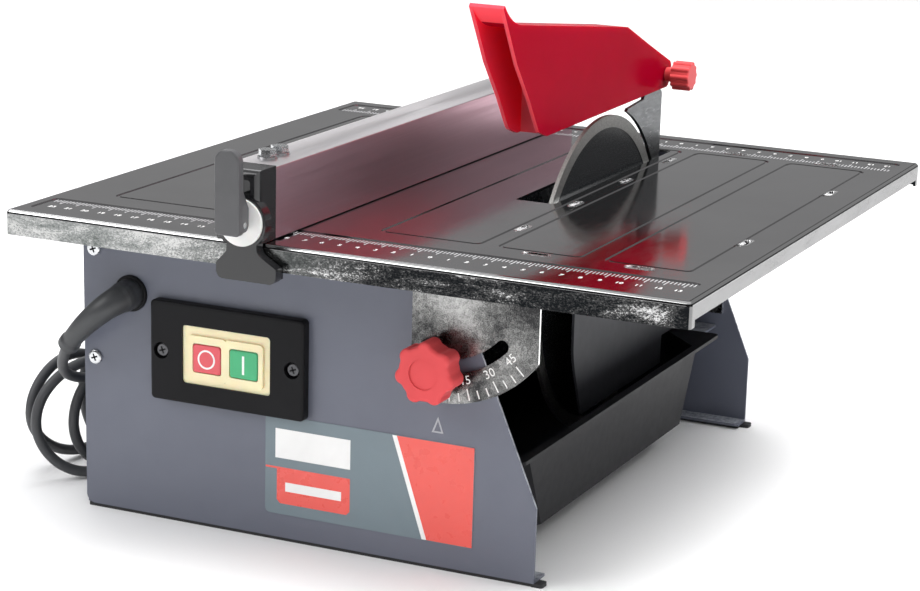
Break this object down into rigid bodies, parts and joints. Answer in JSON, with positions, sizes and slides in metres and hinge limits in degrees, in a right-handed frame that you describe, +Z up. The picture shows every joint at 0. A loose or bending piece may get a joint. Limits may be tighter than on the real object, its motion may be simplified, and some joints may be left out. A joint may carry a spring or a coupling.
{
  "type": "wet tile saw",
  "caption": "Bench wet tile saw: sheet-steel base, tilting ruled table with a rip fence, diamond blade under a hinged guard, side water tray and coiled mains lead",
  "frame": {"origin": "on the surface the saw stands on, under the middle of the table", "axes": "+X to the user's right, +Y away from the user, +Z up"},
  "size_m": [0.4155, 0.4295, 0.2849],
  "materials": {
    "panel_paint": "satin powder coat",
    "foot_rubber": "matt",
    "bright_screws": "bright zinc plate",
    "label_film": "gloss",
    "galvanised": "galvanised",
    "table_metal": "dark glossy plate",
    "red_plastic": "gloss",
    "black_plastic": "semi-gloss",
    "tank_plastic": "satin",
    "fence_aluminium": "extruded",
    "white_nylon": "satin",
    "blade_core": "dark",
    "plain_steel": "turned",
    "iron_core": "laminated",
    "winding": "enamelled copper",
    "motor_alloy": "cast",
    "cord_pvc": "matt",
    "switch_cream": "gloss",
    "button_red": "gloss",
    "button_green": "gloss",
    "capacitor_can": "gloss"
  },
  "bodies": {
    "base": {"front_panel": "panel_paint", "rear_panel": "panel_paint", "side_panel": "panel_paint", "foot_strip": "foot_rubber", "panel_screws": "bright_screws", "table_rest_pads": "foot_rubber", "rating_label": "label_film", "pivot_bolts": "bright_screws", "bevel_studs": "bright_screws", "riving_knife": "galvanised", "knife_bracket": "galvanised", "knife_bolts": "bright_screws", "stator": "iron_core", "stator_windings": "winding", "motor_housing": "motor_alloy", "motor_front_bell": "motor_alloy", "motor_rear_bell": "motor_alloy", "front_bearing": "plain_steel", "rear_bearing": "plain_steel", "motor_wall": "galvanised", "splash_shield": "tank_plastic", "motor_screws": "bright_screws", "capacitor": "capacitor_can", "switch_housing": "black_plastic", "switch_body": "switch_cream", "switch_screws": "plain_steel", "cable_gland": "black_plastic", "strain_relief": "cord_pvc", "cord_run": "cord_pvc", "cord_coil": "cord_pvc", "cord_tail": "cord_pvc", "plug": "black_plastic", "plug_pins": "plain_steel"},
    "table": {"table_top": "table_metal", "front_bracket": "galvanised", "rear_bracket": "galvanised"},
    "fence": {"fence_extrusion": "fence_aluminium", "fence_head": "black_plastic", "fence_bolts": "bright_screws", "fence_rear_hook": "black_plastic", "rod_nut": "bright_screws", "tie_rod": "plain_steel", "lever_pin": "plain_steel", "cam_pad": "white_nylon"},
    "lever": {"fence_lever": "black_plastic"},
    "spindle": {"motor_shaft": "plain_steel", "rotor": "iron_core", "cooling_fan": "black_plastic", "blade": "blade_core", "inner_flange": "plain_steel", "outer_flange": "plain_steel", "arbor_nut": "plain_steel"},
    "guard": {"blade_guard": "red_plastic"},
    "guard_clamp": {"guard_knob": "red_plastic", "guard_screw": "plain_steel"},
    "front_clamp_knob": {"bevel_knob_front": "red_plastic"},
    "rear_clamp_knob": {"bevel_knob_rear": "red_plastic"},
    "off_switch": {"off_button": "button_red"},
    "on_switch": {"on_button": "button_green"},
    "tank": {"water_tank": "tank_plastic"}
  },
  "joints": [
    {"name": "table_tilt", "type": "hinge", "parent": "base", "child": "table", "pos_m": [0.0475, 0, 0.1565], "axis": [0, 1, 0], "range_deg": [0, 45]},
    {"name": "fence_slide", "type": "slide", "parent": "table", "child": "fence", "axis": [-1, 0, 0], "range_m": [-0.065, 0.12]},
    {"name": "fence_lever", "type": "hinge", "parent": "fence", "child": "lever", "pos_m": [-0.0449, -0.21, 0.1794], "axis": [1, 0, 0], "range_deg": [0, 80]},
    {"name": "blade_spin", "type": "hinge", "parent": "base", "child": "spindle", "pos_m": [0, 0.046, 0.114], "axis": [1, 0, 0], "continuous": true},
    {"name": "guard_tilt", "type": "hinge", "parent": "base", "child": "guard", "pos_m": [0.046, 0.1179, 0.2192], "axis": [-1, 0, 0], "range_deg": [-12, 28]},
    {"name": "guard_knob_turn", "type": "hinge", "parent": "guard", "child": "guard_clamp", "pos_m": [0.046, 0.1179, 0.2192], "axis": [1, 0, 0], "continuous": true},
    {"name": "front_knob_turn", "type": "hinge", "parent": "base", "child": "front_clamp_knob", "pos_m": [0.0475, -0.17, 0.1095], "axis": [0, 1, 0], "continuous": true},
    {"name": "rear_knob_turn", "type": "hinge", "parent": "base", "child": "rear_clamp_knob", "pos_m": [0.0475, 0.17, 0.1095], "axis": [0, 1, 0], "continuous": true},
    {"name": "off_press", "type": "slide", "parent": "base", "child": "off_switch", "axis": [0, 1, 0], "range_m": [0, 0.003], "stiffness_N_per_m": 600, "springref_m": -0.001},
    {"name": "on_press", "type": "slide", "parent": "base", "child": "on_switch", "axis": [0, 1, 0], "range_m": [0, 0.003], "stiffness_N_per_m": 600, "springref_m": -0.001},
    {"name": "tank_slide", "type": "slide", "parent": "base", "child": "tank", "axis": [-1, 0, 0], "range_m": [-0.085, 0]}
  ]
}
